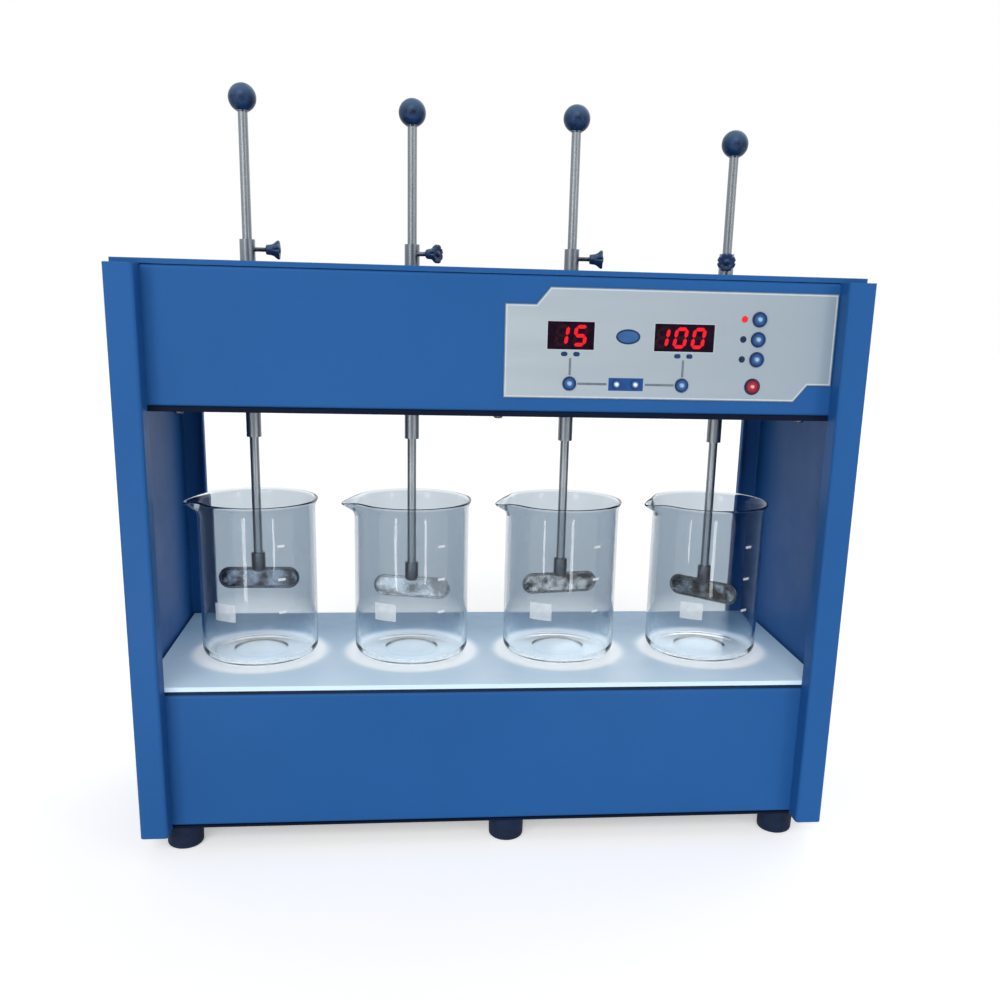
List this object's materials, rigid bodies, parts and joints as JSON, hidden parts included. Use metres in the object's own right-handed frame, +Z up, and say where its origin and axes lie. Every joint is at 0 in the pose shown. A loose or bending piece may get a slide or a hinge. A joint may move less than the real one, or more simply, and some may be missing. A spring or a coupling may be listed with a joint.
{
  "type": "paddle jar-test stirrer",
  "caption": "Bench stirrer with an open bay over a lit white panel, gear head, sliding rods with flat paddles, thumbscrew clamps, glass beakers and a keypad with red displays.",
  "frame": {"origin": "on the bench, under the middle of the casing's width and depth", "axes": "+Z up, +X to the right along the row of stirrers, front panel towards -Y"},
  "size_m": [0.6044, 0.244, 0.6435],
  "materials": {
    "blue_paint": "satin powder coat",
    "dark_paint": "matte dark blue paint",
    "white_acrylic": "opal acrylic sheet",
    "black_rubber": "matte",
    "lamp_white": "frosted",
    "plated_steel": "zinc plated",
    "bronze": "turned",
    "motor_grey": "satin",
    "label_silver": "silver print",
    "display_black": "dark window",
    "lamp_red": "clear red",
    "board_green": "printed board",
    "black_plastic": "moulded",
    "gear_nylon": "natural nylon",
    "bright_steel": "polished stainless steel",
    "beaker_glass": "clear",
    "key_blue": "satin",
    "key_red": "satin",
    "key_white": "satin"
  },
  "bodies": {
    "casing": {"left_side_panel": "blue_paint", "right_side_panel": "blue_paint", "base_front_panel": "blue_paint", "base_rear_panel": "blue_paint", "base_bottom_plate": "dark_paint", "viewing_panel": "white_acrylic", "panel_gaskets": "black_rubber", "lamp_tubes": "lamp_white", "lamp_holders": "lamp_white", "head_front_panel": "blue_paint", "head_rear_panel": "blue_paint", "head_top_cover": "blue_paint", "head_bottom_plate": "dark_paint", "bearing_channel": "plated_steel", "bearing_bushes": "bronze", "drive_motor": "motor_grey", "control_label": "label_silver", "displays": "display_black", "indicator_lamps": "lamp_red", "control_board": "board_green", "power_supply": "plated_steel", "mains_inlet": "black_plastic", "casing_screws": "plated_steel", "rubber_feet": "black_rubber"},
    "motor_pinion": {"motor_pinion": "gear_nylon"},
    "spindle_1": {"geared_spindle_1": "bright_steel"},
    "spindle_2": {"geared_spindle_2": "bright_steel"},
    "spindle_3": {"geared_spindle_3": "bright_steel"},
    "spindle_4": {"geared_spindle_4": "bright_steel"},
    "idler_1": {"idler_gear_1": "gear_nylon"},
    "idler_2": {"idler_gear_2": "gear_nylon"},
    "idler_3": {"idler_gear_3": "gear_nylon"},
    "rod_1": {"stirring_rod_1": "bright_steel", "ball_knob_1": "black_plastic", "paddle_1": "bright_steel"},
    "thumbscrew_1": {"thumbscrew_1": "black_plastic"},
    "rod_2": {"stirring_rod_2": "bright_steel", "ball_knob_2": "black_plastic", "paddle_2": "bright_steel"},
    "thumbscrew_2": {"thumbscrew_2": "black_plastic"},
    "rod_3": {"stirring_rod_3": "bright_steel", "ball_knob_3": "black_plastic", "paddle_3": "bright_steel"},
    "thumbscrew_3": {"thumbscrew_3": "black_plastic"},
    "rod_4": {"stirring_rod_4": "bright_steel", "ball_knob_4": "black_plastic", "paddle_4": "bright_steel"},
    "thumbscrew_4": {"thumbscrew_4": "black_plastic"},
    "beaker_1": {"beaker_1": "beaker_glass"},
    "beaker_2": {"beaker_2": "beaker_glass"},
    "beaker_3": {"beaker_3": "beaker_glass"},
    "beaker_4": {"beaker_4": "beaker_glass"},
    "mode_key_1": {"mode_key_1": "key_blue"},
    "mode_key_2": {"mode_key_2": "key_blue"},
    "mode_key_3": {"mode_key_3": "key_blue"},
    "power_key": {"power_key": "key_red"},
    "time_set_key": {"time_set_key": "key_blue"},
    "speed_set_key": {"speed_set_key": "key_blue"},
    "down_key": {"down_key": "key_white"},
    "up_key": {"up_key": "key_white"}
  },
  "joints": [
    {"name": "spindle_1_spin", "type": "hinge", "parent": "casing", "child": "spindle_1", "pos_m": [-0.21, -0.006, 0.42], "axis": [0, 0, 1], "continuous": true},
    {"name": "spindle_2_spin", "type": "hinge", "parent": "casing", "child": "spindle_2", "pos_m": [-0.07, -0.006, 0.42], "axis": [0, 0, 1], "continuous": true},
    {"name": "spindle_3_spin", "type": "hinge", "parent": "casing", "child": "spindle_3", "pos_m": [0.07, -0.006, 0.42], "axis": [0, 0, 1], "continuous": true},
    {"name": "spindle_4_spin", "type": "hinge", "parent": "casing", "child": "spindle_4", "pos_m": [0.21, -0.006, 0.42], "axis": [0, 0, 1], "continuous": true},
    {"name": "idler_1_spin", "type": "hinge", "parent": "casing", "child": "idler_1", "pos_m": [-0.14, -0.006, 0.4], "axis": [0, 0, 1], "continuous": true},
    {"name": "idler_2_spin", "type": "hinge", "parent": "casing", "child": "idler_2", "pos_m": [0, -0.006, 0.4], "axis": [0, 0, 1], "continuous": true},
    {"name": "idler_3_spin", "type": "hinge", "parent": "casing", "child": "idler_3", "pos_m": [0.14, -0.006, 0.4], "axis": [0, 0, 1], "continuous": true},
    {"name": "motor_pinion_spin", "type": "hinge", "parent": "casing", "child": "motor_pinion", "pos_m": [0, 0.0465, 0.4], "axis": [0, 0, 1], "continuous": true},
    {"name": "rod_1_slide", "type": "slide", "parent": "spindle_1", "child": "rod_1", "axis": [0, 0, 1], "range_m": [-0.048, 0.1]},
    {"name": "thumbscrew_1_turn", "type": "hinge", "parent": "spindle_1", "child": "thumbscrew_1", "pos_m": [-0.198, -0.006, 0.512], "axis": [1, 0, 0], "range_deg": [0, 360]},
    {"name": "rod_2_slide", "type": "slide", "parent": "spindle_2", "child": "rod_2", "axis": [0, 0, 1], "range_m": [-0.039, 0.109]},
    {"name": "thumbscrew_2_turn", "type": "hinge", "parent": "spindle_2", "child": "thumbscrew_2", "pos_m": [-0.06017, -0.01288, 0.512], "axis": [0.8192, -0.5736, 0], "range_deg": [0, 360]},
    {"name": "rod_3_slide", "type": "slide", "parent": "spindle_3", "child": "rod_3", "axis": [0, 0, 1], "range_m": [-0.043, 0.105]},
    {"name": "thumbscrew_3_turn", "type": "hinge", "parent": "spindle_3", "child": "thumbscrew_3", "pos_m": [0.08188, -0.00767, 0.512], "axis": [0.9903, -0.1392, 0], "range_deg": [0, 360]},
    {"name": "rod_4_slide", "type": "slide", "parent": "spindle_4", "child": "rod_4", "axis": [0, 0, 1], "range_m": [-0.036, 0.112]},
    {"name": "thumbscrew_4_turn", "type": "hinge", "parent": "spindle_4", "child": "thumbscrew_4", "pos_m": [0.20649, -0.01748, 0.512], "axis": [-0.2924, -0.9563, 0], "range_deg": [0, 360]},
    {"name": "beaker_1_lift", "type": "slide", "parent": "casing", "child": "beaker_1", "axis": [0, 0, 1], "range_m": [0, 0.03]},
    {"name": "beaker_2_lift", "type": "slide", "parent": "casing", "child": "beaker_2", "axis": [0, 0, 1], "range_m": [0, 0.03]},
    {"name": "beaker_3_lift", "type": "slide", "parent": "casing", "child": "beaker_3", "axis": [0, 0, 1], "range_m": [0, 0.03]},
    {"name": "beaker_4_lift", "type": "slide", "parent": "casing", "child": "beaker_4", "axis": [0, 0, 1], "range_m": [0, 0.03]},
    {"name": "mode_key_1_press", "type": "slide", "parent": "casing", "child": "mode_key_1", "axis": [0, 1, 0], "range_m": [0, 0.001], "stiffness_N_per_m": 1500},
    {"name": "mode_key_2_press", "type": "slide", "parent": "casing", "child": "mode_key_2", "axis": [0, 1, 0], "range_m": [0, 0.001], "stiffness_N_per_m": 1500},
    {"name": "mode_key_3_press", "type": "slide", "parent": "casing", "child": "mode_key_3", "axis": [0, 1, 0], "range_m": [0, 0.001], "stiffness_N_per_m": 1500},
    {"name": "power_key_press", "type": "slide", "parent": "casing", "child": "power_key", "axis": [0, 1, 0], "range_m": [0, 0.001], "stiffness_N_per_m": 1500},
    {"name": "time_set_key_press", "type": "slide", "parent": "casing", "child": "time_set_key", "axis": [0, 1, 0], "range_m": [0, 0.001], "stiffness_N_per_m": 1500},
    {"name": "speed_set_key_press", "type": "slide", "parent": "casing", "child": "speed_set_key", "axis": [0, 1, 0], "range_m": [0, 0.001], "stiffness_N_per_m": 1500},
    {"name": "down_key_press", "type": "slide", "parent": "casing", "child": "down_key", "axis": [0, 1, 0], "range_m": [0, 0.001], "stiffness_N_per_m": 1500},
    {"name": "up_key_press", "type": "slide", "parent": "casing", "child": "up_key", "axis": [0, 1, 0], "range_m": [0, 0.001], "stiffness_N_per_m": 1500}
  ],
  "couplings": [
    {"joint": "spindle_2_spin", "follows": "spindle_1_spin", "ratio": 1},
    {"joint": "spindle_3_spin", "follows": "spindle_1_spin", "ratio": 1},
    {"joint": "spindle_4_spin", "follows": "spindle_1_spin", "ratio": 1},
    {"joint": "idler_1_spin", "follows": "spindle_1_spin", "ratio": -1.3333},
    {"joint": "idler_2_spin", "follows": "spindle_1_spin", "ratio": -1.3333},
    {"joint": "idler_3_spin", "follows": "spindle_1_spin", "ratio": -1.3333},
    {"joint": "motor_pinion_spin", "follows": "spindle_1_spin", "ratio": 1.7778}
  ]
}
